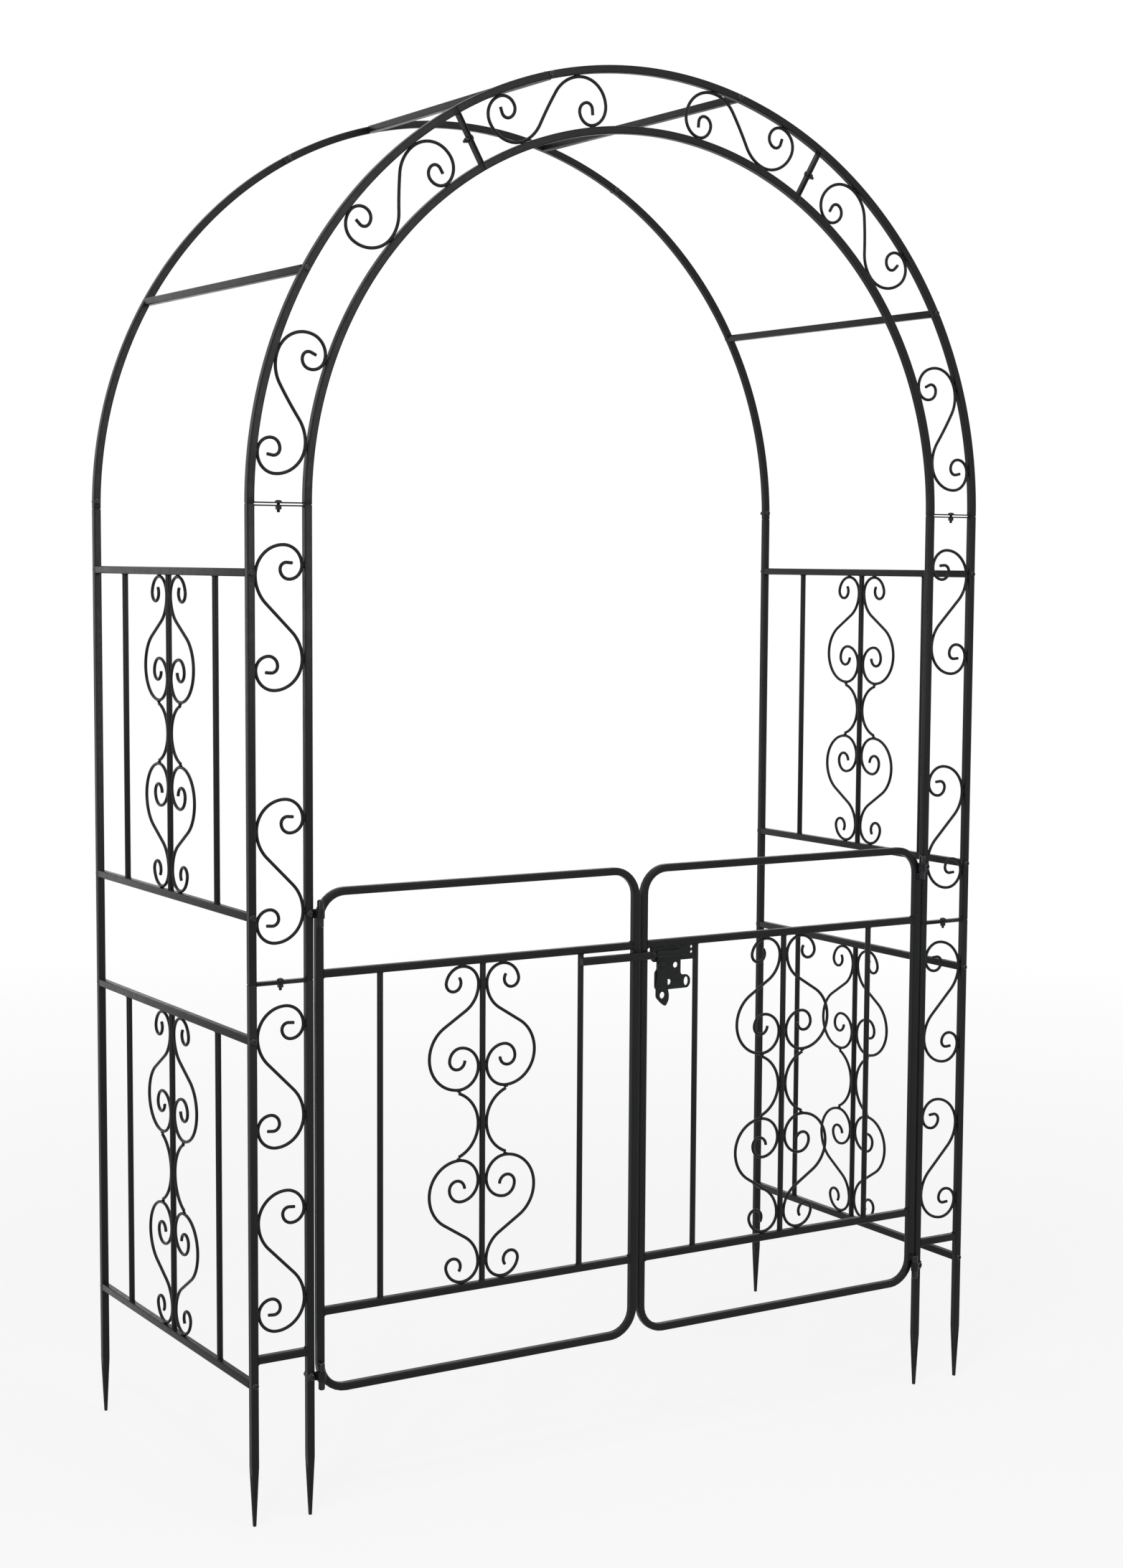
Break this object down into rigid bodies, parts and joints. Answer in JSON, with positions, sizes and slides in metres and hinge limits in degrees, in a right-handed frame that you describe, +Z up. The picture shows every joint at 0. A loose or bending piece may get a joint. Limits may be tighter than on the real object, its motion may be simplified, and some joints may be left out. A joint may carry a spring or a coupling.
{
  "type": "garden arch with gate",
  "caption": "Round-topped steel garden arch with a scrollwork front ladder, trellis side panels, ground stakes and a latched double gate hinged to the front posts.",
  "frame": {"origin": "on the centre line of the arch, midway between its front-most and rear-most points, at the level of the stake tips", "axes": "+X to the right seen from the gate side, +Y to the rear, +Z up"},
  "size_m": [1.372, 0.6306, 2.2058],
  "materials": {
    "frame": "satin black powder coat",
    "latch": "satin black powder coat over pressed steel",
    "bolt": "black oxide"
  },
  "bodies": {
    "arch_frame": {"clamp_strips": "frame", "front_hoop_inner": "frame", "front_hoop_outer": "frame", "hinge_bolts": "bolt", "hinge_nuts": "bolt", "hinge_straps_left": "frame", "hinge_straps_right": "frame", "hoop_crossbars": "frame", "hoop_scrolls_centre": "frame", "hoop_scrolls_left": "frame", "hoop_scrolls_right": "frame", "joint_bolts": "bolt", "joint_nuts": "bolt", "ladder_bottom_rungs": "frame", "ladder_scrolls_lower_left": "frame", "ladder_scrolls_lower_right": "frame", "ladder_scrolls_upper_left": "frame", "ladder_scrolls_upper_right": "frame", "rail_bolts": "bolt", "rear_hoop": "frame", "rear_post_left": "frame", "rear_post_right": "frame", "side_pickets_left": "frame", "side_pickets_right": "frame", "side_rails_left": "frame", "side_rails_right": "frame", "side_scrolls_lower_left": "frame", "side_scrolls_lower_right": "frame", "side_scrolls_upper_left": "frame", "side_scrolls_upper_right": "frame", "stake_post_inner_left": "frame", "stake_post_inner_right": "frame", "stake_post_outer_left": "frame", "stake_post_outer_right": "frame", "upper_post_inner_left": "frame", "upper_post_inner_right": "frame", "upper_post_outer_left": "frame", "upper_post_outer_right": "frame"},
    "gate_left": {"gate_frame_left": "frame", "gate_pickets_left": "frame", "gate_pivots_left": "frame", "gate_rails_left": "frame", "gate_scrolls_left": "frame", "striker_bar": "frame"},
    "gate_right": {"gate_frame_right": "frame", "gate_pickets_right": "frame", "gate_pivots_right": "frame", "gate_rails_right": "frame", "gate_scrolls_right": "frame", "latch_housing": "latch"},
    "latch_tongue": {"latch_tongue": "latch"}
  },
  "joints": [
    {"name": "gate_left_hinge", "type": "hinge", "parent": "arch_frame", "child": "gate_left", "pos_m": [-0.5745, -0.3088, 0.5675], "axis": [0, 0, -1], "range_deg": [0, 170]},
    {"name": "gate_right_hinge", "type": "hinge", "parent": "arch_frame", "child": "gate_right", "pos_m": [0.5745, -0.3088, 0.5675], "axis": [0, 0, 1], "range_deg": [0, 170]},
    {"name": "latch_tongue_pivot", "type": "hinge", "parent": "gate_right", "child": "latch_tongue", "pos_m": [0.04, -0.30445, 0.789], "axis": [0, -1, 0], "range_deg": [0, 60]}
  ],
  "couplings": [
    {"joint": "gate_right_hinge", "follows": "gate_left_hinge", "ratio": 1}
  ]
}
